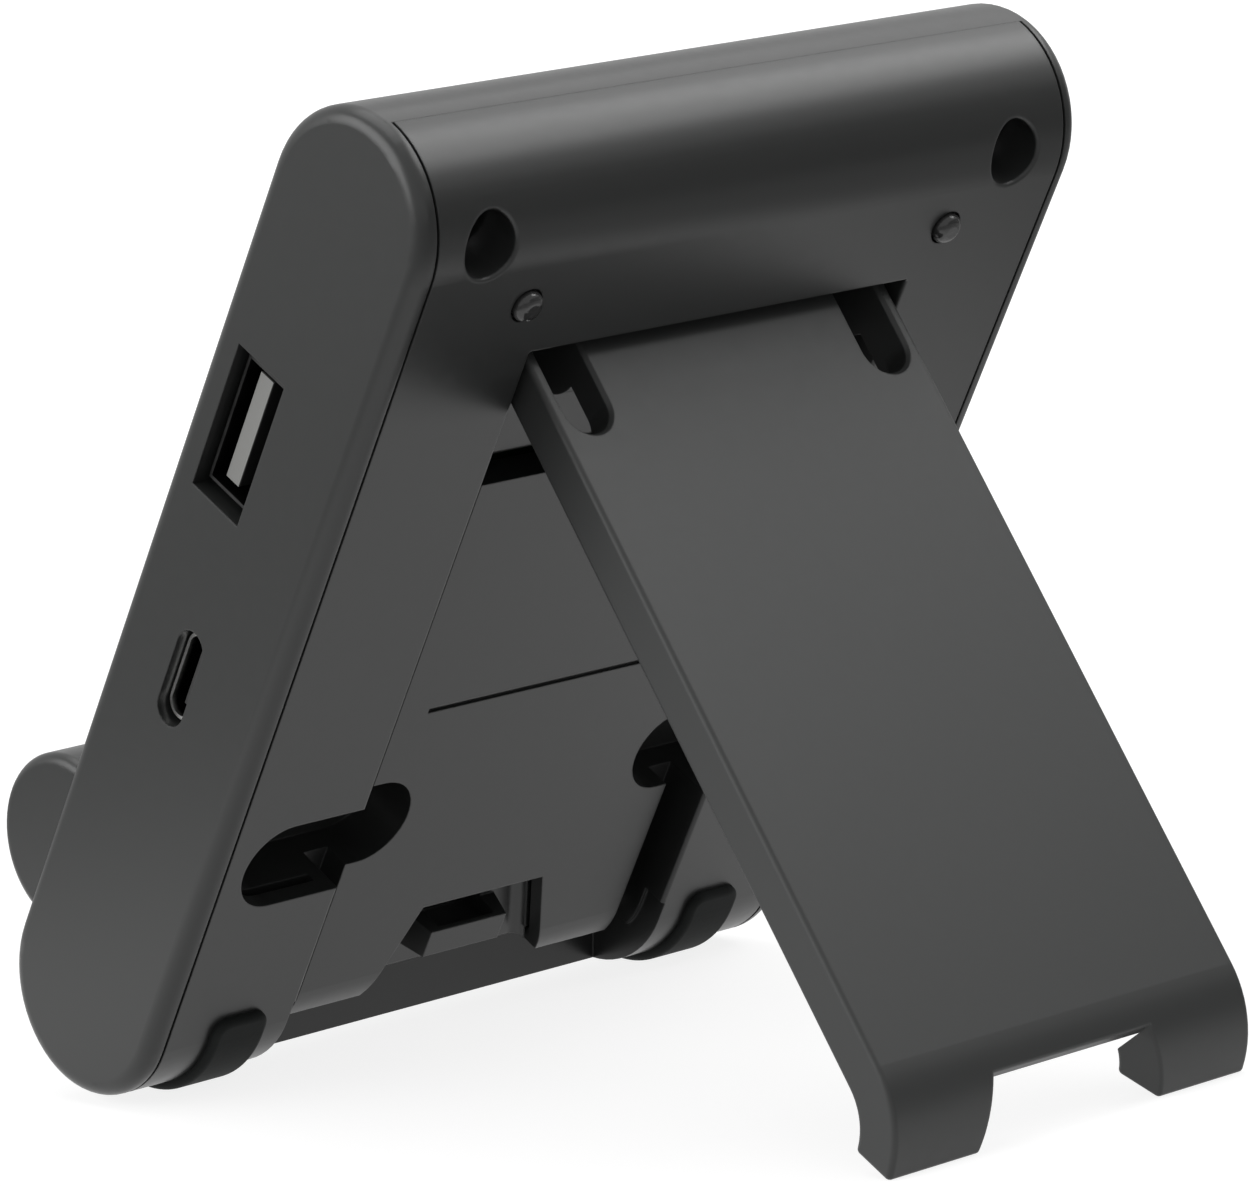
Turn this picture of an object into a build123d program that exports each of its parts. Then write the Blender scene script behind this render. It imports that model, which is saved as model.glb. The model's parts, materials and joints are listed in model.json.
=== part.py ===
from build123d import *
from math import asin, atan2, cos, degrees, hypot, radians, sin, sqrt, tan
import os

os.makedirs("parts", exist_ok=True)

# The dock is a slab with full-round ends that leans back on a hinged stand.
# Across the slab: x. Out of its rear face: n. Up along it: u. The bottom round is centred on n = u = 0.

# Body
dock_width = 80.0
round_r = 10.05
round_spacing = 83.84
edge_r = 1.5
wall = 1.6
cheek_t = 1.75
seam_gap = 0.3

# Recess for the stand
rail_x = 23.0
lintel_u = 74.65
floor_n = 7.5
floor_low_u = -2.8
floor_edge_r = 7.8
floor_edge_run = 3.0
groove_n = 4.8
bar_n = 6.2
vent_low_u = 58.0
vent_high_u = 59.8
sill_angle = 63.7
sill_inset = 0.16
sill_wall_r = 5.0
rail_edge_r = 0.35
bar_edge_r = 0.8
rail_step = 0.35
rail_step_u = 2.1
line_u = 32.2
line_half = 16.4
line_w = 0.5
line_depth = 0.3

# Window in the recess floor
window_top_u = 7.27
window_top_half = 7.5
window_flare = 19.5
window_past = 0.01
window_stop_n = 1.0

# Hinge and stand, sized with the stand folded
hinge_n = 6.2
hinge_u = 70.5
open_angle = 64.57
stand_gap = 0.75
flange_gap = 0.75
stand_r = 3.6
flange_w = 1.4
flange_inner_r = 5.4
plate_t = 1.95
root_t = 3.2
root_u = 59.0
foot_top_u = -3.2
foot_gap = 0.55
foot_corner_r = 0.5
stand_edge_r = 0.5
cut_edge_r = 0.35
slot_w = 5.1
slot_low_u = 61.0
notch_half = 9.6
notch_flare = 18.0
pin_r = 1.5
pin_reach = 1.3
pin_gap = 0.08

# Finger pockets
pocket_u = 19.95
pocket_h = 9.05
pocket_w = 21.6
pocket_in = 2.0
pocket_n = 2.4

# Screws and their posts
screw_in = 6.35
screw_u = 86.45
screw_low_u = -2.2
bore_r = 2.85
bore_edge_r = 0.35
bore_floor_n = 3.4
head_r = 2.4
head_h = 1.6
shank_r = 1.3
shank_gap = 0.25
screw_length = 10.0
post_r = 3.3
tube_r = 4.2

# Rubber parts
pad_t = 0.85
pad_in = 3.6
pad_w = 6.3
pad_edge_r = 0.65
pad_corner_r = 1.6
pad_top_u = 2.4
pad_end_angle = -80.0
bumper_in = 2.6
bumper_u = 79.9
bumper_r = 1.5
bumper_proud = 0.95
bumper_seat = 0.8
bumper_ring = 0.2
bumper_dome_r = 0.9

# Ports on the side
port_a_n = -3.55
port_a_u = 59.35
port_a_w = 6.6
port_a_h = 14.9
port_a_depth = 1.2
port_a_collar = 0.65
port_a_rim = 1.0
usb_a_w = 5.6
usb_a_h = 13.1
usb_a_length = 13.1
usb_a_t = 0.3
usb_a_tongue_n = -4.0
usb_a_tongue_w = 1.75
usb_a_tongue_h = 11.1
usb_a_tongue_back = 0.5
usb_a_block = 4.0
usb_a_leg_w = 1.2
port_c_n = -0.87
port_c_u = 34.8
port_c_w = 3.5
port_c_h = 9.9
port_c_depth = 1.2
port_c_clear = 0.35
usb_c_w = 3.16
usb_c_h = 8.94
usb_c_length = 7.3
usb_c_t = 0.3
usb_c_tongue_w = 0.7
usb_c_tongue_h = 6.7
usb_c_tongue_back = 0.8
usb_c_block = 1.5

# Circuit board
board_n = 0.75
board_t = 1.2
board_low_u = 26.8
board_high_u = 66.0
board_gap = 1.9
board_post_in = 5.5
board_post_r = 2.4
board_post_inset = 3.4
board_screw_r = 0.9
board_screw_head_r = 1.8
board_screw_head_h = 0.9
board_screw_length = 5.0

# Shelf for the console
shelf_reach = 2.0
shelf_u = 6.75
shelf_r = 8.27
shelf_in = 4.0
seat_half = 15.0
seat_reach = 12.6
seat_low_u = 2.0
seat_edge_r = 2.2
shelf_edge_r = 1.0

# Plug for the console and the carrier behind it
plug_n = -17.6
plug_w = 8.3
plug_t = 2.4
plug_proud = 6.5
plug_shell_t = 0.25
plug_base_w = 11.0
plug_base_t = 4.0
plug_base_proud = 0.7
plug_seat_depth = 2.5
plug_gap = 0.3
plug_board_t = 0.8
carrier_half = 13.0
carrier_t = 3.2
carrier_gap = 0.3
carrier_high_u = 12.0
carrier_arm_half = 7.0
carrier_arm_low_u = 3.2
carrier_arm_high_u = 9.8
tray_depth = 1.2
tray_rim = 0.34
tray_cove_r = 1.1
tray_past = 0.6
boss_half = 5.3
boss_low_u = 0.1
boss_high_u = 3.6
boss_n = 7.2
boss_slope = 0.6
boss_hole_half = 3.5
boss_hole_low_u = 2.2
boss_hole_high_u = 5.4
boss_hole_depth = 1.2
boss_skin = 0.5
ledge_screw_x = 24.0
ledge_screw_length = 8.0

# Parts on the board: width, length, height, x, u
chips = {
    "controller_chip": (7.0, 7.0, 0.9, 0.0, 46.0),
    "power_chip": (5.0, 5.0, 0.9, 11.0, 37.0),
    "crystal": (3.2, 2.5, 0.8, 8.5, 50.5),
    "choke_coil": (6.0, 6.0, 2.8, -10.5, 37.0),
}
capacitor_r = 2.0
capacitor_h = 3.2
capacitor_spots = [(-12.0, 55.0), (-6.5, 55.0)]

# Tolerance for picking edges by place
near = 0.05

# Places worked out from the sizes
inner_half = dock_width / 2 - cheek_t
rear_half_width = inner_half - seam_gap
stand_half = rail_x - stand_gap
panel_x = stand_half - flange_w - flange_gap
slot_x = stand_half - flange_w - slot_w / 2
screw_x = inner_half - screw_in
pad_in_x = rail_x + pad_in
screw_low_x = pad_in_x + pad_w / 2
bumper_x = rail_x + bumper_in
pocket_x = rail_x + pocket_in
pad_r = round_r + pad_t
board_half = inner_half - board_gap
usb_a_face_x = dock_width / 2 - port_a_depth
usb_a_back_x = usb_a_face_x - usb_a_length
usb_c_face_x = dock_width / 2 - port_c_depth
usb_c_back_x = usb_c_face_x - usb_c_length
board_post_x = usb_a_back_x - board_post_in
shelf_n = -round_r - shelf_reach
shelf_half = dock_width / 2 - shelf_in
shelf_top_u = shelf_u + shelf_r
tall = round_spacing + 4 * round_r
vent_mid_u = (vent_low_u + vent_high_u) / 2

# Lean that puts the rubber feet and the open stand on one level
outer_r = hinge_n + stand_r
well_r = lintel_u - hinge_u
sill_dir = radians(90 - sill_angle)
sill_normal = (cos(sill_dir), sin(sill_dir))
sill_along = (sin(sill_dir), -cos(sill_dir))


def on_sill_line(offset, radius):
    """Point (n, u) on a line offset from the sill, at a radius from the bottom round's centre."""
    run = sqrt(radius**2 - offset**2)
    return (offset * sill_normal[0] + run * sill_along[0], offset * sill_normal[1] + run * sill_along[1])


def opened(point):
    """Where a point (n, u) of the folded stand lies once the stand is open."""
    dn, du = point[0] - hinge_n, point[1] - hinge_u
    turn = radians(open_angle)
    return (hinge_n + dn * cos(turn) - du * sin(turn), hinge_u + dn * sin(turn) + du * cos(turn))


end_offset = foot_gap - sill_inset
toe = opened(on_sill_line(end_offset + foot_corner_r, outer_r - foot_corner_r))
lean = atan2(toe[1], toe[0]) + asin((pad_r - foot_corner_r) / hypot(*toe))
bend_centre = opened((0, 0))
rear_reach = bend_centre[0] * cos(lean) + bend_centre[1] * sin(lean) + outer_r
seat_front_n = -round_r - seat_reach
seat_corner = (seat_front_n + seat_edge_r, seat_low_u + seat_edge_r)
shelf_front = shelf_n * cos(lean) + shelf_u * sin(lean) - shelf_r
seat_front = seat_corner[0] * cos(lean) + seat_corner[1] * sin(lean) - seat_edge_r
front_reach = min(shelf_front, seat_front)
origin_y = -(rear_reach + front_reach) / 2


def leaning(origin, tilt):
    """Frame whose Z runs up a face that leans back by tilt, with Y out of its rear."""
    return Plane(origin=origin, x_dir=(1, 0, 0), z_dir=(0, sin(tilt), cos(tilt)))


slab = leaning((0, origin_y, pad_r), lean)
folded_tilt = lean - radians(open_angle)
hinge_point = slab.from_local_coords(Vector(0, hinge_n, hinge_u))
stand_axes = leaning(hinge_point, folded_tilt)
stand = leaning(stand_axes.from_local_coords(Vector(0, -hinge_n, -hinge_u)), folded_tilt)


def rear_plane(frame, n):
    """Plane across a frame at n that looks forward, with x to its right and u up."""
    return Plane(origin=frame.from_local_coords(Vector(0, n, 0)), x_dir=frame.x_dir, z_dir=-frame.y_dir)


def across_plane(frame, u):
    """Plane across the frame at u that looks up it, with x to its right and n up."""
    return Plane(origin=frame.from_local_coords(Vector(0, 0, u)), x_dir=frame.x_dir, z_dir=frame.z_dir)


def side_plane(frame, x):
    """Plane of the side profile at x, with n to its right and u up."""
    return Plane(origin=frame.from_local_coords(Vector(x, 0, 0)), x_dir=frame.y_dir, z_dir=frame.x_dir)


# Profiles in n and u
def stadium(inset):
    """Side profile of the slab, drawn in by inset."""
    with BuildSketch() as face:
        with Locations((0, round_spacing / 2)):
            SlotOverall(round_spacing + 2 * (round_r - inset), 2 * (round_r - inset), rotation=90)
    return face.sketch


def recess(floor, bar):
    """Profile of what the recess takes away: hinge well, floor and sill, out past the slab."""
    far = round_r * 2
    lip = hinge_u - sqrt(well_r**2 - (bar - hinge_n) ** 2)
    low_u = floor_low_u if floor > sill_wall_r else -sqrt(sill_wall_r**2 - floor**2)
    wall_n = sqrt(sill_wall_r**2 - low_u**2)
    sill_top = on_sill_line(-sill_inset, sill_wall_r)
    sill_far = on_sill_line(-sill_inset, far)
    middle = (atan2(low_u, wall_n) + atan2(sill_top[1], sill_top[0])) / 2
    with BuildSketch() as face:
        with BuildLine():
            Line((far, lintel_u), (hinge_n, lintel_u))
            ThreePointArc((hinge_n, lintel_u), (hinge_n - well_r, hinge_u), (bar, lip))
            if floor > sill_wall_r:
                edge_u = low_u + floor_edge_run
                Polyline((bar, lip), (bar, vent_mid_u), (floor, vent_mid_u), (floor, edge_u))
                bend = -degrees(asin(floor_edge_run / floor_edge_r))
                edge = JernArc((floor, edge_u), (0, -1), floor_edge_r, bend)
                Line(edge @ 1, (wall_n, low_u))
            else:
                Line((floor, lip), (floor, low_u))
            ThreePointArc((wall_n, low_u), (sill_wall_r * cos(middle), sill_wall_r * sin(middle)), sill_top)
            Polyline(sill_top, sill_far, (far, sill_far[1]), (far, lintel_u))
        make_face()
    return face.sketch


def section(floor, bar, inset):
    """Side profile of the slab through the recess, drawn in by inset."""
    with BuildSketch() as face:
        add(stadium(0))
        add(recess(floor, bar), mode=Mode.SUBTRACT)
        if inset:
            offset(amount=-inset, kind=Kind.INTERSECTION)
    return face.sketch


def on_rail_edge(edge):
    """Whether an edge of the rear shell is the outer edge of a rail, beside the recess."""
    place = slab.to_local_coords(edge.center())
    reach = place.Y if place.Z > 0 else hypot(place.Y, place.Z)
    return abs(abs(place.X) - rail_x) < near and reach > floor_n + near


def on_bar_edge(edge):
    """Whether an edge of the rear shell is the lower edge of the bar above the vent."""
    place = slab.to_local_coords(edge.center())
    return abs(place.Y - bar_n) < near and abs(place.Z - vent_high_u) < near


def on_bore_edge(edge):
    """Whether an edge of the rear shell is the mouth of an upper screw bore."""
    place = slab.to_local_coords(edge.center())
    away = hypot(abs(place.X) - screw_x, place.Z - screw_u)
    return place.Y > bore_floor_n + near and away < bore_r + near


def on_notch_edge(edge):
    """Whether an edge of the stand borders the notch on the outside of its foot."""
    place = stand.to_local_coords(edge.center())
    inside = abs(place.X) < notch_low_half and place.Z < foot_top_u + near
    return inside and abs(hypot(place.Y, place.Z) - outer_r) < near


def window_half_at(u):
    """Half width of the window at a height."""
    return window_top_half + (window_top_u - u) * tan(radians(window_flare))


screw_spots = [(side * x, u) for x, u in ((screw_x, screw_u), (screw_low_x, screw_low_u)) for side in (-1, 1)]
bumper_spots = [(-bumper_x, bumper_u), (bumper_x, bumper_u)]
board_post_spots = [
    (x, u)
    for x in (-board_post_x, board_post_x)
    for u in (board_low_u + board_post_inset, board_high_u - board_post_inset)
]
ledge_screw_spots = [(-ledge_screw_x, shelf_u), (ledge_screw_x, shelf_u)]
pocket_spots = [(-pocket_x, pocket_u), (pocket_x, pocket_u)]
carrier_arm_h = carrier_arm_high_u - carrier_arm_low_u
carrier_low_u = floor_low_u + carrier_gap
carrier_skirt_u = floor_low_u + wall + carrier_gap
skirt_half = window_half_at(carrier_skirt_u) - carrier_gap
plug_seat_u = carrier_arm_high_u + plug_board_t

window_low_u = floor_low_u - window_past
window_low_half = window_half_at(window_low_u)
window_corners = [
    (-window_top_half, window_top_u),
    (window_top_half, window_top_u),
    (window_low_half, window_low_u),
    (-window_low_half, window_low_u),
]
notch_low_u = -2 * round_r
notch_low_half = notch_half + (foot_top_u - notch_low_u) * tan(radians(notch_flare))
notch_corners = [
    (-notch_half, foot_top_u),
    (notch_half, foot_top_u),
    (notch_low_half, notch_low_u),
    (-notch_low_half, notch_low_u),
]

# Front shell with both side cheeks
with BuildPart() as front_shell:
    with BuildSketch(side_plane(slab, 0)):
        add(stadium(0))
    extrude(amount=dock_width / 2, both=True)
    fillet(front_shell.faces().sort_by(Axis.X)[-1].edges(), radius=edge_r)
    fillet(front_shell.faces().sort_by(Axis.X)[0].edges(), radius=edge_r)
    with BuildSketch(side_plane(slab, 0)):
        with Locations((round_r, round_spacing / 2)):
            Rectangle(2 * round_r, tall)
    extrude(amount=inner_half, both=True, mode=Mode.SUBTRACT)
    with BuildSketch(side_plane(slab, 0)):
        add(stadium(wall))
    extrude(amount=inner_half, both=True, mode=Mode.SUBTRACT)
    with BuildSketch(rear_plane(slab, 0)):
        with Locations(*screw_spots):
            Circle(post_r)
    extrude(amount=round_r - wall / 2)
    with BuildSketch(side_plane(slab, 0)):
        with Locations((0, round_spacing / 2)):
            Rectangle(6 * round_r, tall)
        add(stadium(0), mode=Mode.SUBTRACT)
    extrude(amount=inner_half, both=True, mode=Mode.SUBTRACT)
    with BuildSketch(rear_plane(slab, board_n)):
        with Locations(*board_post_spots):
            Circle(board_post_r)
    extrude(amount=board_n + round_r - wall / 2)
    with BuildSketch(rear_plane(slab, board_n)):
        with Locations(*board_post_spots):
            Circle(board_screw_r)
    extrude(amount=board_screw_length, mode=Mode.SUBTRACT)
    with BuildSketch(side_plane(slab, inner_half)):
        with Locations(((port_a_n - port_a_w / 2 - port_a_rim) / 2, port_a_u)):
            Rectangle(port_a_w / 2 + port_a_rim - port_a_n, port_a_h + 2 * port_a_rim)
    extrude(amount=-port_a_collar)
    with BuildSketch(rear_plane(slab, 0)):
        with Locations(*screw_spots):
            Circle(shank_r - shank_gap / 2)
    extrude(amount=screw_length - bore_floor_n, mode=Mode.SUBTRACT)
    with BuildSketch(side_plane(slab, inner_half)):
        with Locations((port_a_n, port_a_u)):
            Rectangle(port_a_w, port_a_h)
        with Locations((port_c_n, port_c_u)):
            SlotOverall(port_c_h, port_c_w, rotation=90)
    extrude(amount=cheek_t, mode=Mode.SUBTRACT)
    with BuildSketch(side_plane(slab, inner_half)):
        with Locations((port_a_n, port_a_u)):
            Rectangle(port_a_w, port_a_h)
    extrude(amount=-port_a_collar, mode=Mode.SUBTRACT)
    with BuildSketch(rear_plane(slab, -round_r + wall)):
        with Locations((0, (carrier_arm_low_u + carrier_arm_high_u) / 2)):
            Rectangle(2 * (carrier_arm_half + carrier_gap), carrier_arm_h + 2 * carrier_gap)
        with Locations(*ledge_screw_spots):
            Circle(shank_r + shank_gap)
    extrude(amount=wall, mode=Mode.SUBTRACT)

# Rear shell with the recess between two rails
with BuildPart() as rear_shell:
    with BuildSketch(side_plane(slab, 0)):
        add(stadium(0))
        with Locations((-round_r, round_spacing / 2)):
            Rectangle(2 * round_r, tall, mode=Mode.SUBTRACT)
    extrude(amount=rear_half_width, both=True)
    with BuildSketch(side_plane(slab, 0)):
        add(recess(floor_n, bar_n))
    extrude(amount=rail_x, both=True, mode=Mode.SUBTRACT)
    fillet(rear_shell.edges().filter_by(on_rail_edge), radius=rail_edge_r)
    for side in (-1, 1):
        with BuildSketch(side_plane(slab, side * rail_x)):
            add(recess(floor_n, bar_n))
            with Locations((0, rail_step_u + tall / 2)):
                Rectangle(tall, tall, mode=Mode.SUBTRACT)
        extrude(amount=side * rail_step, mode=Mode.SUBTRACT)
    with BuildSketch(side_plane(slab, 0)):
        add(section(floor_n, bar_n, wall))
    extrude(amount=panel_x - wall, both=True, mode=Mode.SUBTRACT)
    with BuildSketch(side_plane(slab, 0)):
        add(section(groove_n, groove_n, wall))
    extrude(amount=rail_x + wall, both=True, mode=Mode.SUBTRACT)
    for side in (-1, 1):
        with BuildSketch(side_plane(slab, side * (rail_x + wall))):
            add(stadium(wall))
        extrude(amount=side * (rear_half_width - rail_x - 2 * wall), mode=Mode.SUBTRACT)

    with BuildSketch(rear_plane(slab, round_r)):
        with Locations(*screw_spots):
            Circle(tube_r)
    extrude(amount=round_r)
    with BuildSketch(rear_plane(slab, floor_n)):
        with Locations(*pocket_spots):
            SlotOverall(pocket_w + 2 * wall, pocket_h + 2 * wall)
    extrude(amount=floor_n - pocket_n + wall)
    with BuildSketch(side_plane(slab, 0)):
        with Locations((round_r, round_spacing / 2)):
            Rectangle(6 * round_r, tall)
        add(stadium(0), mode=Mode.SUBTRACT)
    extrude(amount=dock_width, both=True, mode=Mode.SUBTRACT)
    for side in (-1, 1):
        with BuildSketch(side_plane(slab, side * panel_x)):
            add(recess(groove_n, groove_n))
        extrude(amount=side * (rail_x - panel_x), mode=Mode.SUBTRACT)
    with BuildSketch(rear_plane(slab, round_r)):
        with Locations(*pocket_spots):
            SlotOverall(pocket_w, pocket_h)
    extrude(amount=round_r - pocket_n, mode=Mode.SUBTRACT)
    with BuildSketch(rear_plane(slab, round_r)):
        with Locations(*screw_spots):
            Circle(bore_r)
    extrude(amount=round_r - bore_floor_n, mode=Mode.SUBTRACT)
    fillet(rear_shell.edges().filter_by(on_bore_edge), radius=bore_edge_r)
    with BuildSketch(rear_plane(slab, round_r)):
        with Locations(*screw_spots):
            Circle(shank_r + shank_gap)
    extrude(amount=round_r, mode=Mode.SUBTRACT)
    with BuildSketch(rear_plane(slab, round_r)):
        with Locations(*bumper_spots):
            Circle(bumper_r + bumper_ring)
    extrude(amount=bumper_seat, mode=Mode.SUBTRACT)
    with BuildSketch(rear_plane(slab, round_r)):
        with Locations((0, vent_mid_u)):
            Rectangle(2 * panel_x, vent_high_u - vent_low_u)
    extrude(amount=round_r, mode=Mode.SUBTRACT)
    fillet(rear_shell.edges().filter_by(on_bar_edge), radius=bar_edge_r)
    with BuildSketch(rear_plane(slab, floor_n)):
        with Locations((0, line_u)):
            Rectangle(2 * line_half, line_w)
    extrude(amount=line_depth, mode=Mode.SUBTRACT)
    with BuildSketch(rear_plane(slab, round_r)):
        with BuildLine():
            Polyline(*window_corners, close=True)
        make_face()
    extrude(amount=round_r - window_stop_n, mode=Mode.SUBTRACT)
    with BuildSketch(side_plane(slab, 0)):
        with Locations((hinge_n, hinge_u)):
            Circle(pin_r + pin_gap)
    extrude(amount=rail_x + wall, both=True, mode=Mode.SUBTRACT)
    with BuildSketch(side_plane(slab, rail_x + wall)):
        with Locations((port_c_n, port_c_u)):
            SlotOverall(port_c_h, usb_c_w + 2 * port_c_clear, rotation=90)
    extrude(amount=dock_width / 2, mode=Mode.SUBTRACT)

# Stand, drawn folded and placed open
toe_rear = on_sill_line(end_offset, outer_r)
toe_front = on_sill_line(end_offset, flange_inner_r)
outer_middle = atan2(toe_rear[1], toe_rear[0]) / 2


def stand_profile(inner_n, thickness, root_thickness):
    """Side profile of the folded stand, from the round at its hinge to the cut of its toe."""
    heel_u = foot_top_u if inner_n > flange_inner_r else 0
    heel_n = sqrt(flange_inner_r**2 - heel_u**2)
    heel_middle = (atan2(heel_u, heel_n) + atan2(toe_front[1], toe_front[0])) / 2
    plate_n = outer_r - thickness
    root_n = outer_r - root_thickness
    corners = [(heel_n, heel_u), (plate_n, heel_u), (plate_n, root_u), (root_n, root_u), (root_n, hinge_u)]
    with BuildSketch() as face:
        with BuildLine():
            Line((outer_r, hinge_u), (outer_r, 0))
            bend_point = (outer_r * cos(outer_middle), outer_r * sin(outer_middle))
            ThreePointArc((outer_r, 0), bend_point, toe_rear)
            Line(toe_rear, toe_front)
            heel_point = (flange_inner_r * cos(heel_middle), flange_inner_r * sin(heel_middle))
            ThreePointArc(toe_front, heel_point, (heel_n, heel_u))
            Polyline(*[p for i, p in enumerate(corners) if i == 0 or p != corners[i - 1]])
            Line((root_n, hinge_u), (outer_r, hinge_u))
        make_face()
        toe_corners = face.vertices().sort_by(Axis.Y)[0:2]
        fillet(toe_corners, radius=foot_corner_r)
        with Locations((hinge_n, hinge_u)):
            Circle(stand_r)
    return face.sketch


flange_t = outer_r - flange_inner_r
with BuildPart() as kickstand:
    with BuildSketch(side_plane(stand, 0)):
        add(stand_profile(outer_r - plate_t, plate_t, root_t))
    extrude(amount=stand_half - flange_w, both=True)
    for side in (-1, 1):
        with BuildSketch(side_plane(stand, side * (stand_half - flange_w))):
            add(stand_profile(flange_inner_r, flange_t, flange_t))
        extrude(amount=side * flange_w)
    fillet(kickstand.faces().sort_by(Axis.X)[-1].outer_wire().edges(), radius=stand_edge_r)
    fillet(kickstand.faces().sort_by(Axis.X)[0].outer_wire().edges(), radius=stand_edge_r)
    with BuildSketch(rear_plane(stand, outer_r)):
        with Locations((-slot_x, slot_low_u + slot_w / 2), (slot_x, slot_low_u + slot_w / 2)):
            Circle(slot_w / 2)
        with Locations((-slot_x, hinge_u + slot_w / 2), (slot_x, hinge_u + slot_w / 2)):
            Rectangle(slot_w, 2 * (hinge_u - slot_low_u))
    extrude(amount=2 * round_r, mode=Mode.SUBTRACT)
    mouth_h = 2 * (hinge_u - slot_low_u)
    with BuildSketch(rear_plane(stand, outer_r)):
        with Locations(*[(side * slot_x, slot_low_u + mouth_h / 2) for side in (-1, 1)]):
            SlotOverall(mouth_h + 2 * cut_edge_r, slot_w + 2 * cut_edge_r, rotation=90)
    extrude(amount=cut_edge_r, taper=45, mode=Mode.SUBTRACT)
    with BuildSketch(rear_plane(stand, outer_r)):
        with BuildLine():
            Polyline(*notch_corners, close=True)
        make_face()
    extrude(amount=2 * round_r, mode=Mode.SUBTRACT)
    fillet(kickstand.edges().filter_by(on_notch_edge), radius=cut_edge_r)
    for side in (-1, 1):
        with BuildSketch(side_plane(stand, side * stand_half)):
            with Locations((hinge_n, hinge_u)):
                Circle(pin_r)
        extrude(amount=side * (rail_x - stand_half + pin_reach))

# Rubber feet and bumpers
pad_mid_angle = radians(pad_end_angle / 2)
pad_last_angle = radians(pad_end_angle)


def foot_profile():
    """Section of a rubber foot: flat at its top, then round with the slab."""
    with BuildSketch() as face:
        with BuildLine():
            Polyline((pad_r, 0), (pad_r, pad_top_u), (round_r, pad_top_u), (round_r, 0))
            for radius in (round_r, pad_r):
                middle = (radius * cos(pad_mid_angle), radius * sin(pad_mid_angle))
                last = (radius * cos(pad_last_angle), radius * sin(pad_last_angle))
                ThreePointArc((radius, 0), middle, last)
            Line(
                (round_r * cos(pad_last_angle), round_r * sin(pad_last_angle)),
                (pad_r * cos(pad_last_angle), pad_r * sin(pad_last_angle)),
            )
        make_face()
    return face.sketch


def on_outside_of_foot(edge):
    """Whether an edge of a foot lies on its worn side, away from the slab."""
    place = slab.to_local_coords(edge.center())
    reach = place.Y if place.Z > 0 else hypot(place.Y, place.Z)
    return reach > round_r + 0.75 * pad_t


feet = {}
bumpers = {}
for side, hand in ((1, "left"), (-1, "right")):
    with BuildPart() as foot:
        with BuildSketch(side_plane(slab, side * pad_in_x)):
            add(foot_profile())
        extrude(amount=side * pad_w)
        fillet(foot.edges().filter_by(Axis(slab.origin, slab.y_dir)), radius=pad_corner_r)
        fillet(foot.edges().filter_by(on_outside_of_foot), radius=pad_edge_r)
    feet["foot_pad_" + hand] = foot
    with BuildPart() as bumper:
        with BuildSketch(rear_plane(slab, round_r + bumper_proud)):
            with Locations((side * bumper_x, bumper_u)):
                Circle(bumper_r)
        extrude(amount=bumper_proud + bumper_seat)
        fillet(bumper.faces().sort_by(Axis.Y)[-1].edges(), radius=bumper_dome_r)
    bumpers["bumper_" + hand] = bumper

# Case screws, whose heads seat on the floors of the bores
with BuildPart() as case_screws:
    with BuildSketch(rear_plane(slab, bore_floor_n + head_h)):
        with Locations(*screw_spots):
            Circle(head_r)
    extrude(amount=head_h)
    with BuildSketch(rear_plane(slab, bore_floor_n)):
        with Locations(*screw_spots):
            Circle(shank_r - shank_gap / 2)
    extrude(amount=screw_length)
    with BuildSketch(rear_plane(slab, bore_floor_n + head_h)):
        with Locations(*screw_spots):
            RegularPolygon(head_r / 2, 6)
    extrude(amount=head_h / 2, mode=Mode.SUBTRACT)

# Circuit board, its screws and its parts
with BuildPart() as main_board:
    with BuildSketch(rear_plane(slab, board_n + board_t)):
        with Locations((0, (board_low_u + board_high_u) / 2)):
            Rectangle(2 * board_half, board_high_u - board_low_u)
        with Locations(*board_post_spots):
            Circle(board_screw_r + shank_gap, mode=Mode.SUBTRACT)
    extrude(amount=board_t)

with BuildPart() as board_screws:
    with BuildSketch(rear_plane(slab, board_n + board_t + board_screw_head_h)):
        with Locations(*board_post_spots):
            Circle(board_screw_head_r)
    extrude(amount=board_screw_head_h)
    with BuildSketch(rear_plane(slab, board_n + board_t)):
        with Locations(*board_post_spots):
            Circle(board_screw_r)
    extrude(amount=board_t + board_screw_length)

board_parts = {}
for name, (width, length, height, x, u) in chips.items():
    with BuildPart() as chip:
        with BuildSketch(rear_plane(slab, board_n + board_t + height)):
            with Locations((x, u)):
                Rectangle(width, length)
        extrude(amount=height)
    board_parts[name] = chip

with BuildPart() as capacitors:
    with BuildSketch(rear_plane(slab, board_n + board_t + capacitor_h)):
        with Locations(*capacitor_spots):
            Circle(capacitor_r)
    extrude(amount=capacitor_h)
board_parts["capacitors"] = capacitors

# Receptacle for a lead to the console, behind the larger opening
with BuildPart() as usb_a_shell:
    with BuildSketch(side_plane(slab, usb_a_back_x)):
        with Locations((port_a_n, port_a_u)):
            Rectangle(usb_a_w, usb_a_h)
            Rectangle(usb_a_w - 2 * usb_a_t, usb_a_h - 2 * usb_a_t, mode=Mode.SUBTRACT)
    extrude(amount=usb_a_length)
    leg_n = port_a_n + usb_a_w / 2
    with BuildSketch(side_plane(slab, usb_a_back_x)):
        for end in (-1, 1):
            with Locations(((leg_n + board_n) / 2, port_a_u + end * (usb_a_h - usb_a_t) / 2)):
                Rectangle(board_n - leg_n, usb_a_t)
    extrude(amount=usb_a_leg_w)

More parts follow.
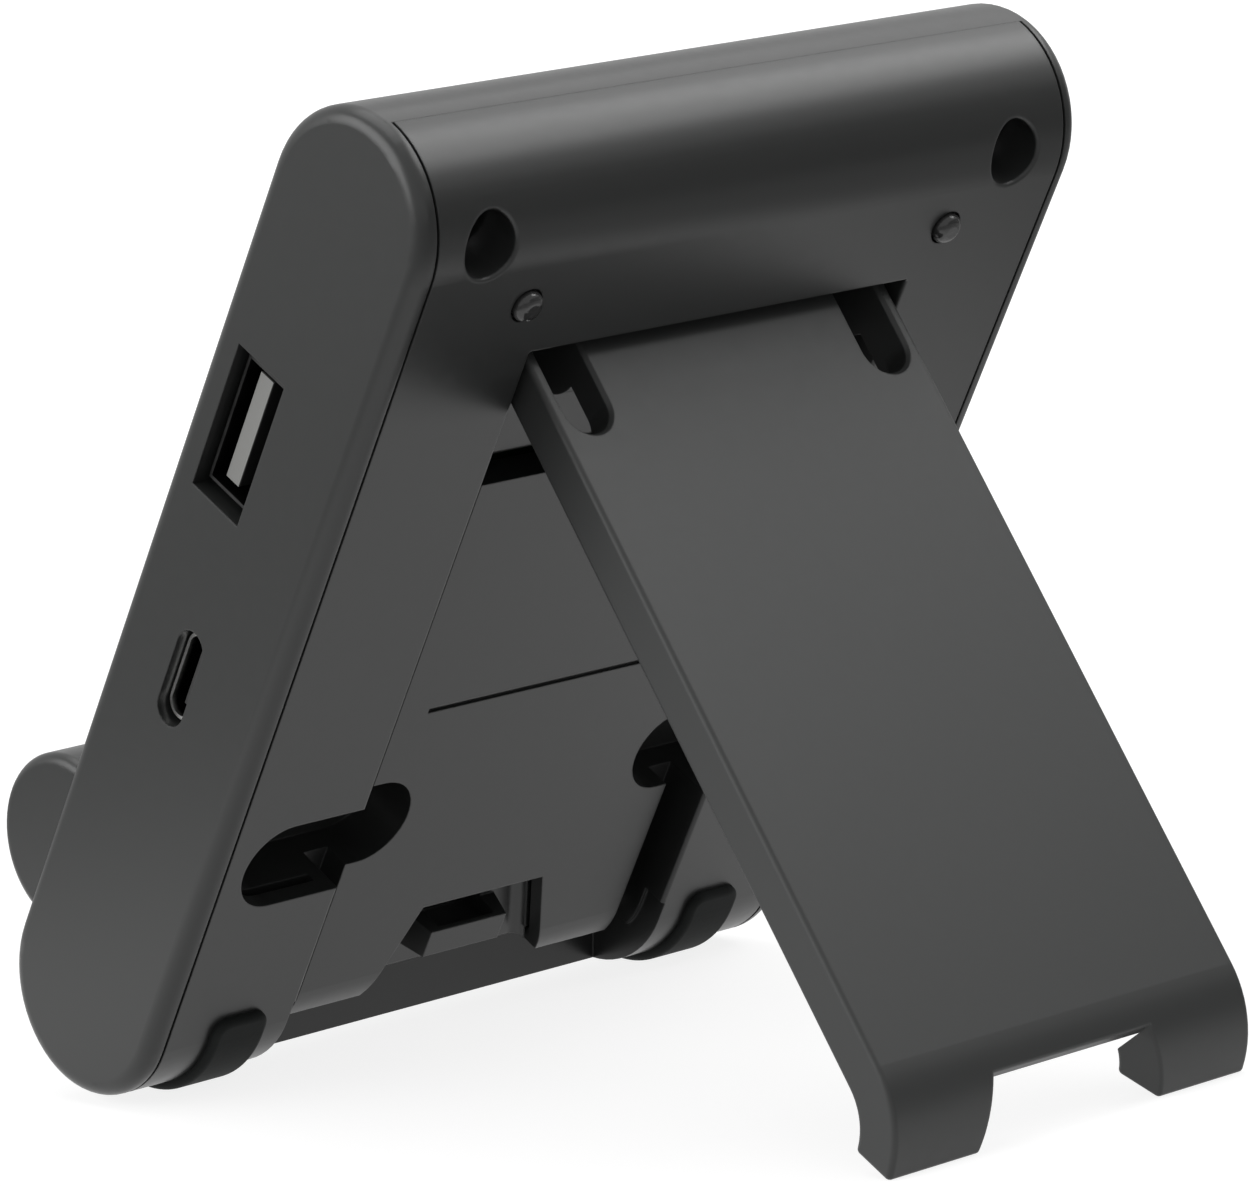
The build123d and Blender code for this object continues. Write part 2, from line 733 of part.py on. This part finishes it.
with BuildPart() as usb_a_tongue:
    with BuildSketch(side_plane(slab, usb_a_back_x)):
        with Locations((port_a_n, port_a_u)):
            Rectangle(usb_a_w - 2 * usb_a_t, usb_a_h - 2 * usb_a_t)
    extrude(amount=usb_a_block)
    with BuildSketch(side_plane(slab, usb_a_back_x)):
        with Locations((usb_a_tongue_n, port_a_u)):
            Rectangle(usb_a_tongue_w, usb_a_tongue_h)
    extrude(amount=usb_a_length - usb_a_tongue_back)

# Power inlet behind the smaller opening
with BuildPart() as usb_c_shell:
    with BuildSketch(side_plane(slab, usb_c_back_x)):
        with Locations((port_c_n, port_c_u)):
            SlotOverall(usb_c_h, usb_c_w, rotation=90)
            SlotOverall(usb_c_h - 2 * usb_c_t, usb_c_w - 2 * usb_c_t, rotation=90, mode=Mode.SUBTRACT)
    extrude(amount=usb_c_length)

with BuildPart() as usb_c_tongue:
    with BuildSketch(side_plane(slab, usb_c_back_x)):
        with Locations((port_c_n, port_c_u)):
            SlotOverall(usb_c_h - 2 * usb_c_t, usb_c_w - 2 * usb_c_t, rotation=90)
    extrude(amount=usb_c_block)
    with BuildSketch(side_plane(slab, usb_c_back_x)):
        with Locations((port_c_n, port_c_u)):
            Rectangle(usb_c_tongue_w, usb_c_tongue_h)
    extrude(amount=usb_c_length - usb_c_tongue_back)

# Shelf for the console, with a seat for the plug at its middle
with BuildPart() as front_ledge:
    with BuildSketch(side_plane(slab, 0)):
        with Locations((shelf_n, shelf_u)):
            Circle(shelf_r)
        with Locations((shelf_n / 2, shelf_u)):
            Rectangle(-shelf_n, 2 * shelf_r)
    extrude(amount=shelf_half, both=True)
    fillet(front_ledge.faces().sort_by(Axis.X)[-1].edges(), radius=shelf_edge_r)
    fillet(front_ledge.faces().sort_by(Axis.X)[0].edges(), radius=shelf_edge_r)
    with BuildSketch(side_plane(slab, 0)):
        with Locations(((seat_front_n - round_r) / 2, (seat_low_u + shelf_top_u) / 2)):
            RectangleRounded(seat_reach, shelf_top_u - seat_low_u, seat_edge_r)
        with Locations(((shelf_n - round_r) / 2, (seat_low_u + shelf_top_u) / 2)):
            Rectangle(-round_r - shelf_n, shelf_top_u - seat_low_u)
    extrude(amount=seat_half, both=True)
    with BuildSketch(side_plane(slab, 0)):
        add(stadium(0))
    extrude(amount=dock_width, both=True, mode=Mode.SUBTRACT)
    with BuildSketch(side_plane(slab, 0)):
        with Locations((((plug_n - plug_base_t) - round_r) / 2, (carrier_arm_low_u + plug_seat_u) / 2)):
            Rectangle(-round_r - (plug_n - plug_base_t), plug_seat_u - carrier_arm_low_u + 2 * carrier_gap)
    extrude(amount=carrier_arm_half + carrier_gap, both=True, mode=Mode.SUBTRACT)
    with BuildSketch(across_plane(slab, shelf_top_u)):
        with Locations((0, plug_n)):
            RectangleRounded(plug_base_w + 2 * plug_gap, plug_base_t + 2 * plug_gap, plug_base_t / 2)
    extrude(amount=-(shelf_top_u - plug_seat_u), mode=Mode.SUBTRACT)
    with BuildSketch(rear_plane(slab, -round_r)):
        with Locations(*ledge_screw_spots):
            Circle(shank_r - shank_gap / 2)
    extrude(amount=ledge_screw_length - wall, mode=Mode.SUBTRACT)

with BuildPart() as ledge_screws:
    with BuildSketch(rear_plane(slab, -round_r + wall + head_h)):
        with Locations(*ledge_screw_spots):
            Circle(head_r)
    extrude(amount=head_h)
    with BuildSketch(rear_plane(slab, -round_r + wall)):
        with Locations(*ledge_screw_spots):
            Circle(shank_r - shank_gap / 2)
    extrude(amount=ledge_screw_length)

# Carrier seen through the window, with its arm to the plug
carrier_n = floor_n - wall - carrier_gap
lower_half = window_half_at(carrier_low_u) - carrier_gap
tray_n = carrier_n - tray_depth
tray_high_u = window_top_u + tray_past
tray_low_u = carrier_low_u - tray_past
tray_corners = [
    (-window_half_at(tray_high_u) + tray_rim, tray_high_u),
    (window_half_at(tray_high_u) - tray_rim, tray_high_u),
    (window_half_at(tray_low_u) - tray_rim, tray_low_u),
    (tray_rim - window_half_at(tray_low_u), tray_low_u),
]


def on_tray_cove(edge):
    """Whether an edge of the carrier lies at the foot of a side wall of its tray."""
    place = slab.to_local_coords(edge.center())
    along = abs(place.X) + tray_rim - window_half_at(place.Z)
    return abs(place.Y - tray_n) < near and abs(along) < near


with BuildPart() as plug_carrier:
    with BuildSketch(rear_plane(slab, carrier_n)):
        with BuildLine():
            Polyline(
                (-carrier_half, carrier_high_u),
                (carrier_half, carrier_high_u),
                (carrier_half, carrier_skirt_u),
                (skirt_half, carrier_skirt_u),
                (lower_half, carrier_low_u),
                (-lower_half, carrier_low_u),
                (-skirt_half, carrier_skirt_u),
                (-carrier_half, carrier_skirt_u),
                close=True,
            )
        make_face()
    extrude(amount=carrier_t)
    with BuildSketch(rear_plane(slab, carrier_n)):
        with Locations((0, (carrier_arm_low_u + carrier_arm_high_u) / 2)):
            Rectangle(2 * carrier_arm_half, carrier_arm_h)
    extrude(amount=carrier_n - (plug_n - plug_base_t / 2 - plug_gap))
    with BuildSketch(rear_plane(slab, carrier_n)):
        with BuildLine():
            Polyline(*tray_corners, close=True)
        make_face()
    extrude(amount=tray_depth, mode=Mode.SUBTRACT)
    fillet(plug_carrier.edges().filter_by(on_tray_cove), radius=tray_cove_r)
    boss_u = (boss_low_u + boss_high_u) / 2
    with BuildSketch(rear_plane(slab, boss_n)):
        with Locations((0, boss_u)):
            Rectangle(2 * (boss_half - boss_slope), boss_high_u - boss_low_u - boss_slope)
    with BuildSketch(rear_plane(slab, tray_n)):
        with Locations((0, boss_u)):
            Rectangle(2 * boss_half, boss_high_u - boss_low_u)
    loft()
    with BuildSketch(rear_plane(slab, boss_n - boss_skin)):
        with Locations((0, (boss_hole_low_u + boss_hole_high_u) / 2)):
            Rectangle(2 * boss_hole_half, boss_hole_high_u - boss_hole_low_u)
    extrude(amount=boss_n - boss_skin - tray_n + boss_hole_depth, mode=Mode.SUBTRACT)

# Plug and its small board on the arm
with BuildPart() as plug_board:
    with BuildSketch(across_plane(slab, carrier_arm_high_u)):
        with Locations((0, plug_n)):
            Rectangle(plug_base_w, plug_base_t)
    extrude(amount=plug_board_t)

with BuildPart() as plug_base:
    with BuildSketch(across_plane(slab, plug_seat_u)):
        with Locations((0, plug_n)):
            RectangleRounded(plug_base_w, plug_base_t, plug_base_t / 2 - plug_gap)
    extrude(amount=shelf_top_u + plug_base_proud - plug_seat_u)
    with BuildSketch(across_plane(slab, shelf_top_u + plug_base_proud)):
        with Locations((0, plug_n)):
            SlotOverall(plug_w, plug_t)
    extrude(amount=-plug_seat_depth, mode=Mode.SUBTRACT)

with BuildPart() as plug_shell:
    with BuildSketch(across_plane(slab, shelf_top_u + plug_base_proud - plug_seat_depth)):
        with Locations((0, plug_n)):
            SlotOverall(plug_w, plug_t)
            SlotOverall(plug_w - 2 * plug_shell_t, plug_t - 2 * plug_shell_t, mode=Mode.SUBTRACT)
    extrude(amount=plug_proud + plug_seat_depth - plug_base_proud)

with BuildPart() as plug_tongue:
    with BuildSketch(across_plane(slab, shelf_top_u + plug_base_proud - plug_seat_depth)):
        with Locations((0, plug_n)):
            SlotOverall(plug_w - 2 * plug_shell_t, plug_t - 2 * plug_shell_t)
    extrude(amount=plug_seat_depth + plug_base_proud)

pieces = {
    "front_shell": front_shell,
    "rear_shell": rear_shell,
    "kickstand": kickstand,
    "front_ledge": front_ledge,
    "ledge_screws": ledge_screws,
    "case_screws": case_screws,
    "main_board": main_board,
    "board_screws": board_screws,
    "usb_a_shell": usb_a_shell,
    "usb_a_tongue": usb_a_tongue,
    "usb_c_shell": usb_c_shell,
    "usb_c_tongue": usb_c_tongue,
    "plug_carrier": plug_carrier,
    "plug_board": plug_board,
    "plug_base": plug_base,
    "plug_shell": plug_shell,
    "plug_tongue": plug_tongue,
    **feet,
    **bumpers,
    **board_parts,
}
for name, piece in pieces.items():
    piece.part.label = name
    export_step(piece.part, "parts/" + name + ".step")
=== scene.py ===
import json
import math

import bpy
from mathutils import Matrix, Vector

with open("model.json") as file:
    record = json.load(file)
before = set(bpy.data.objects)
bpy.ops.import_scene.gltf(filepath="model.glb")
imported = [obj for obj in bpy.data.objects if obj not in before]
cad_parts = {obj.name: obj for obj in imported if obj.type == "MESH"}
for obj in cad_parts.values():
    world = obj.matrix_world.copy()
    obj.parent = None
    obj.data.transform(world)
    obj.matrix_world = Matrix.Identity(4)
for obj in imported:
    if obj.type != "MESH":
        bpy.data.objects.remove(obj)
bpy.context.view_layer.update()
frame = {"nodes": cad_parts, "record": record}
nodes = frame["nodes"]

MM = 0.001

# The slab leans back by LEAN. Places on it are (x, n, u) in millimetres:
# across, out of its rear and up along it.
LEAN = math.radians(32.087)
N_AXIS = Vector((0, math.cos(LEAN), -math.sin(LEAN)))
U_AXIS = Vector((0, math.sin(LEAN), math.cos(LEAN)))
HINGE_N = 6.2
HINGE_U = 70.5
hinge = Vector(frame["record"]["behaviour"]["joints"][0]["pos_m"]) / MM
SLAB_ORIGIN = hinge - HINGE_N * N_AXIS - HINGE_U * U_AXIS

# Camera at the photograph's viewing angle
CAMERA_PLACE = (434.31, 355.69, 384.48)
CAMERA_AIM = (-20.24, -5.10, 29.25)
CAMERA_ROLL = math.radians(-4.293)
FOCAL_PIXELS = 7225.3
IMAGE_WIDTH = 1253
IMAGE_HEIGHT = 1187
CENTRE_PIXEL = (628.67, 589.07)
SENSOR_MM = 36

# Floor, in metres. Its white for the eye, near the object and far from it, and its painted glow in
# reflections, bright near the object and dim far from it.
FLOOR_REACH = 3.0
FLOOR_WHITE = (0.3, 0.3, 0.3)
FLOOR_EYE = (0.84, 1.0)
EYE_REACH = (0.25, 0.9)
FLOOR_SHINE = (0.8, 0.15)
SHINE_CENTRE = (0.022, -0.024, 0.0)
SHINE_REACH = (0.10, 0.17)

# World: its strength in reflections, and as light
WORLD_SHINE = 0.72
WORLD_LIGHT = 0.33

# Card that shades the reflections in the crown and the stand
FLAG_WIDTH = 0.6
FLAG_HEIGHT = 0.19
FLAG_DISTANCE = 0.32
FLAG_TURN = math.radians(40)
FLAG_GREY = (0.34, 0.34, 0.34)

# Softboxes: place, aim, size in metres and power in watts
SOFTBOXES = {
    "key_softbox": ((-0.709, 0.377, 0.91), (0, 0, 0.05), (0.87, 0.47), 3.4),
    "key_side_softbox": ((-0.786, -0.167, 0.91), (0, 0, 0.05), (0.87, 0.47), 1.2),
    "top_softbox": ((0.0, -0.2, 1.4), (0, 0, 0.03), (1.2, 1.2), 7.0),
    "side_softbox": ((1.25, -0.55, 0.6), (0, 0, 0.04), (1.4, 1.0), 12.5),
}

# Part of a noise's output that most of its surface has
NOISE_SPAN = (0.3, 0.7)


def on_slab(x, n, u):
    """World place, in metres, of a point on the leaning slab."""
    return (SLAB_ORIGIN + Vector((x, 0, 0)) + n * N_AXIS + u * U_AXIS) * MM


def facing(direction):
    """Turn that points a camera or a lamp along a direction."""
    return direction.to_track_quat("-Z", "Y").to_matrix().to_4x4()


def add_camera():
    data = bpy.data.cameras.new("camera")
    data.sensor_width = SENSOR_MM
    data.lens = FOCAL_PIXELS / IMAGE_WIDTH * SENSOR_MM
    data.shift_x = (IMAGE_WIDTH / 2 - CENTRE_PIXEL[0]) / IMAGE_WIDTH
    data.shift_y = (CENTRE_PIXEL[1] - IMAGE_HEIGHT / 2) / IMAGE_WIDTH
    data.clip_start = 0.01
    camera = bpy.data.objects.new("camera", data)
    bpy.context.collection.objects.link(camera)
    place = on_slab(*CAMERA_PLACE)
    turn = facing(on_slab(*CAMERA_AIM) - place) @ Matrix.Rotation(CAMERA_ROLL, 4, "Z")
    camera.matrix_world = Matrix.Translation(place) @ turn
    bpy.context.scene.camera = camera


class Shader:
    """A material's nodes, with the principled shader ready to be linked."""

    def __init__(self, name, color, roughness, metallic=0.0):
        self.material = bpy.data.materials.new(name)
        self.material.use_nodes = True
        self.tree = self.material.node_tree
        self.bsdf = self.tree.nodes["Principled BSDF"]
        self.bsdf.inputs["Base Color"].default_value = (*color, 1)
        self.bsdf.inputs["Roughness"].default_value = roughness
        self.bsdf.inputs["Metallic"].default_value = metallic
        self.place = self.add("ShaderNodeTexCoord").outputs["Object"]

    def add(self, kind, **values):
        node = self.tree.nodes.new(kind)
        for key, value in values.items():
            setattr(node, key, value)
        return node

    def link(self, source, target):
        self.tree.links.new(source, target)

    def noise(self, scale, detail=3.0):
        node = self.add("ShaderNodeTexNoise")
        node.inputs["Scale"].default_value = scale
        node.inputs["Detail"].default_value = detail
        self.link(self.place, node.inputs["Vector"])
        return node.outputs["Fac"]

    def distance(self, centre):
        node = self.add("ShaderNodeVectorMath", operation="DISTANCE")
        self.link(self.place, node.inputs[0])
        node.inputs[1].default_value = centre
        return node.outputs["Value"]

    def ramp(self, value, low, high, out_low, out_high):
        node = self.add("ShaderNodeMapRange")
        node.inputs["From Min"].default_value = low
        node.inputs["From Max"].default_value = high
        node.inputs["To Min"].default_value = out_low
        node.inputs["To Max"].default_value = out_high
        self.link(value, node.inputs["Value"])
        return node.outputs["Result"]

    def vary_tone(self, value, dark, light):
        """Base colour between two tones, by a value from 0 to 1."""
        node = self.add("ShaderNodeMix", data_type="RGBA")
        node.inputs["A"].default_value = (*dark, 1)
        node.inputs["B"].default_value = (*light, 1)
        self.link(value, node.inputs["Factor"])
        self.link(node.outputs["Result"], self.bsdf.inputs["Base Color"])

    def vary_roughness(self, value, low, high):
        """Roughness between two figures, by a noise."""
        self.link(self.ramp(value, *NOISE_SPAN, low, high), self.bsdf.inputs["Roughness"])

    def bump(self, height, distance, strength, edge_radius=0.0):
        """Relief from a height, over edges that are softened by edge_radius in metres."""
        node = self.add("ShaderNodeBump")
        node.inputs["Strength"].default_value = strength
        node.inputs["Distance"].default_value = distance
        self.link(height, node.inputs["Height"])
        if edge_radius:
            soft = self.add("ShaderNodeBevel", samples=2)
            soft.inputs["Radius"].default_value = edge_radius
            self.link(soft.outputs["Normal"], node.inputs["Normal"])
        self.link(node.outputs["Normal"], self.bsdf.inputs["Normal"])


def scaled(tone, share):
    return [channel * share for channel in tone]


def moulded_plastic(name, tone, roughness):
    """Satin moulded plastic with a fine spark-eroded grain."""
    shader = Shader(name, tone, roughness)
    shader.vary_tone(shader.noise(scale=35, detail=2), scaled(tone, 0.97), scaled(tone, 1.03))
    shader.vary_roughness(shader.noise(scale=900, detail=2), roughness - 0.015, roughness + 0.015)
    grain = shader.noise(scale=5200, detail=2)
    shader.bump(grain, distance=0.000008, strength=0.2, edge_radius=0.00022)
    return shader.material


def rubber(name, tone, roughness=0.7, specular=0.2):
    shader = Shader(name, tone, roughness)
    shader.bsdf.inputs["Specular IOR Level"].default_value = specular
    shader.vary_tone(shader.noise(scale=120), tone, scaled(tone, 1.3))
    shader.bump(shader.noise(scale=3000), distance=0.00004, strength=0.5)
    return shader.material


def metal(name, tone, roughness):
    shader = Shader(name, tone, roughness, metallic=1.0)
    shader.vary_roughness(shader.noise(scale=400), roughness * 0.8, roughness * 1.2)
    shader.bump(shader.noise(scale=2500), distance=0.00001, strength=0.3)
    return shader.material


def solder_mask(name, tone):
    shader = Shader(name, tone, roughness=0.35)
    shader.vary_tone(shader.noise(scale=60), tone, scaled(tone, 1.4))
    return shader.material


def port_with_painted_shade(name, node, front, painted_shade, roughness, metallic=0.0, depth=0.25):
    """Receptacle's part: its front tone at the mouth, and painted shade, dark from depth
    millimetres inwards.
    """
    shader = Shader(name, front, roughness, metallic)
    mouth = max(vertex.co.x for vertex in node.data.vertices)
    split = shader.add("ShaderNodeSeparateXYZ")
    shader.link(shader.place, split.inputs[0])
    # Painted shade: the tone darkens from the mouth inwards, where shade falls inside the port.
    nearness = shader.ramp(split.outputs["X"], mouth - depth * MM, mouth, 0, 1)
    shader.vary_tone(nearness, painted_shade, front)
    shader.vary_roughness(shader.noise(scale=900), roughness * 0.85, roughness * 1.15)
    return shader.material


def ray_strength(tree, light):
    """Strength by the kind of ray: light, and sockets for reflections or glass and for the eye."""
    path = tree.nodes.new("ShaderNodeLightPath")
    glass = tree.nodes.new("ShaderNodeMath")
    glass.operation = "MAXIMUM"
    tree.links.new(path.outputs["Is Glossy Ray"], glass.inputs[0])
    tree.links.new(path.outputs["Is Transmission Ray"], glass.inputs[1])
    mirror = tree.nodes.new("ShaderNodeMix")
    tree.links.new(glass.outputs[0], mirror.inputs["Factor"])
    mirror.inputs["A"].default_value = light
    straight = tree.nodes.new("ShaderNodeMix")
    tree.links.new(path.outputs["Is Camera Ray"], straight.inputs["Factor"])
    tree.links.new(mirror.outputs["Result"], straight.inputs["A"])
    return straight.outputs["Result"], mirror.inputs["B"], straight.inputs["B"]


def add_world():
    """White to the eye, pale in reflections, and a soft grey light for the rest."""
    world = bpy.data.worlds.new("studio")
    bpy.context.scene.world = world
    world.use_nodes = True
    tree = world.node_tree
    background = tree.nodes["Background"]
    background.inputs["Color"].default_value = (1, 1, 1, 1)
    strength, mirrored, eye = ray_strength(tree, WORLD_LIGHT)
    mirrored.default_value = WORLD_SHINE
    eye.default_value = 1.0
    tree.links.new(strength, background.inputs["Strength"])


def add_sheet(name, corners, material):
    """A flat piece of the studio."""
    mesh = bpy.data.meshes.new(name)
    mesh.from_pydata(corners, [], [(0, 1, 2, 3)])
    mesh.materials.append(material)
    sheet = bpy.data.objects.new(name, mesh)
    bpy.context.collection.objects.link(sheet)
    return sheet


def add_floor():
    """White floor with the object's shadow on it, and a painted glow in reflections, brightest
    around the object.
    """
    shader = Shader("floor_white", FLOOR_WHITE, roughness=0.9)
    shader.bsdf.inputs["Specular IOR Level"].default_value = 0.0
    strength, mirrored, eye = ray_strength(shader.tree, 0)
    # Painted glow: the floor shines in reflections, brightest around the object, whether lit or in
    # shadow.
    shader.link(shader.ramp(shader.distance(SHINE_CENTRE), *SHINE_REACH, *FLOOR_SHINE), mirrored)
    shader.link(shader.ramp(shader.distance((0, 0, 0)), *EYE_REACH, *FLOOR_EYE), eye)
    shader.bsdf.inputs["Emission Color"].default_value = (1, 1, 1, 1)
    shader.link(strength, shader.bsdf.inputs["Emission Strength"])
    reach = FLOOR_REACH
    corners = [(-reach, -reach, 0), (reach, -reach, 0), (reach, reach, 0), (-reach, reach, 0)]
    floor = add_sheet("floor", corners, shader.material)


def add_flag():
    """Grey card that the camera doesn't see."""
    half = FLAG_WIDTH / 2
    corners = [(-half, 0, 0), (half, 0, 0), (half, 0, FLAG_HEIGHT), (-half, 0, FLAG_HEIGHT)]
    flag = add_sheet("flag", corners, Shader("flag_grey", FLAG_GREY, roughness=0.9).material)
    turn = Matrix.Rotation(FLAG_TURN, 4, "Z")
    flag.matrix_world = turn @ Matrix.Translation((0, FLAG_DISTANCE, 0))
    flag.visible_camera = False
    flag.visible_shadow = False


def add_softbox(name, place, aim, size, power):
    data = bpy.data.lights.new(name, "AREA")
    data.shape = "RECTANGLE"
    data.size, data.size_y = size
    data.energy = power
    lamp = bpy.data.objects.new(name, data)
    bpy.context.collection.objects.link(lamp)
    lamp.matrix_world = Matrix.Translation(place) @ facing(Vector(aim) - Vector(place))


def port_part(name, node, front, painted_shade, roughness, **values):
    """Material of the named node in a port, with grey tones for its front and for the painted
    shade inside it.
    """
    return port_with_painted_shade(name, nodes[node], front, (painted_shade,) * 3, roughness, **values)


add_camera()
add_world()
add_floor()
add_flag()
for name, values in SOFTBOXES.items():
    add_softbox(name, *values)

SLOT_MATERIALS = {
    "case_plastic": moulded_plastic("case_plastic", (0.0318, 0.0332, 0.0326), 0.30),
    "stand_plastic": moulded_plastic("stand_plastic", (0.0370, 0.0385, 0.0380), 0.44),
    "rubber": rubber("rubber", (0.0110, 0.0125, 0.0120)),
    "steel": metal("steel", (0.55, 0.55, 0.56), 0.3),
    "board": solder_mask("board", (0.01, 0.06, 0.025)),
    "chip_plastic": moulded_plastic("chip_plastic", (0.012, 0.012, 0.012), 0.5),
    "tongue_plastic": moulded_plastic("tongue_plastic", (0.78, 0.78, 0.76), 0.4),
    "connector_metal": metal("connector_metal", (0.50, 0.50, 0.49), 0.35),
}
BUMPER = rubber("bumper_rubber", (0.035, 0.035, 0.035), roughness=0.12, specular=0.6)
# Front tones at the ports' mouths: the USB-A shell's metal darkened as painted shade, and the
# USB-C shell's metal lightened far above connector_metal as a painted highlight.
WHITE_TONGUE = (0.30, 0.30, 0.29)
SHADED_METAL = (0.07, 0.07, 0.07)
DARK_TONGUE = (0.06, 0.06, 0.06)
PAINTED_HIGHLIGHT_METAL = (0.95, 0.95, 0.93)
# The second grey of each port part is its painted shade, deep inside the port.
NODE_MATERIALS = {
    "bumper_left": BUMPER,
    "bumper_right": BUMPER,
    "usb_a_tongue": port_part("white_tongue", "usb_a_tongue", WHITE_TONGUE, 0.03, 0.45),
    "usb_a_shell": port_part("port_a_metal", "usb_a_shell", SHADED_METAL, 0.03, 0.4, metallic=1.0),
    "usb_c_tongue": port_part("dark_tongue", "usb_c_tongue", DARK_TONGUE, 0.01, 0.5),
    "usb_c_shell": port_part(
        "port_c_metal", "usb_c_shell", PAINTED_HIGHLIGHT_METAL, 0.04, 0.3, metallic=1.0, depth=0.6
    ),
}
slot_of = {part["node"]: part["material_slot"] for part in frame["record"]["subparts"]}
for name, node in nodes.items():
    node.data.materials.clear()
    node.data.materials.append(NODE_MATERIALS.get(name, SLOT_MATERIALS[slot_of[name]]))

bpy.context.scene.view_settings.view_transform = "Standard"
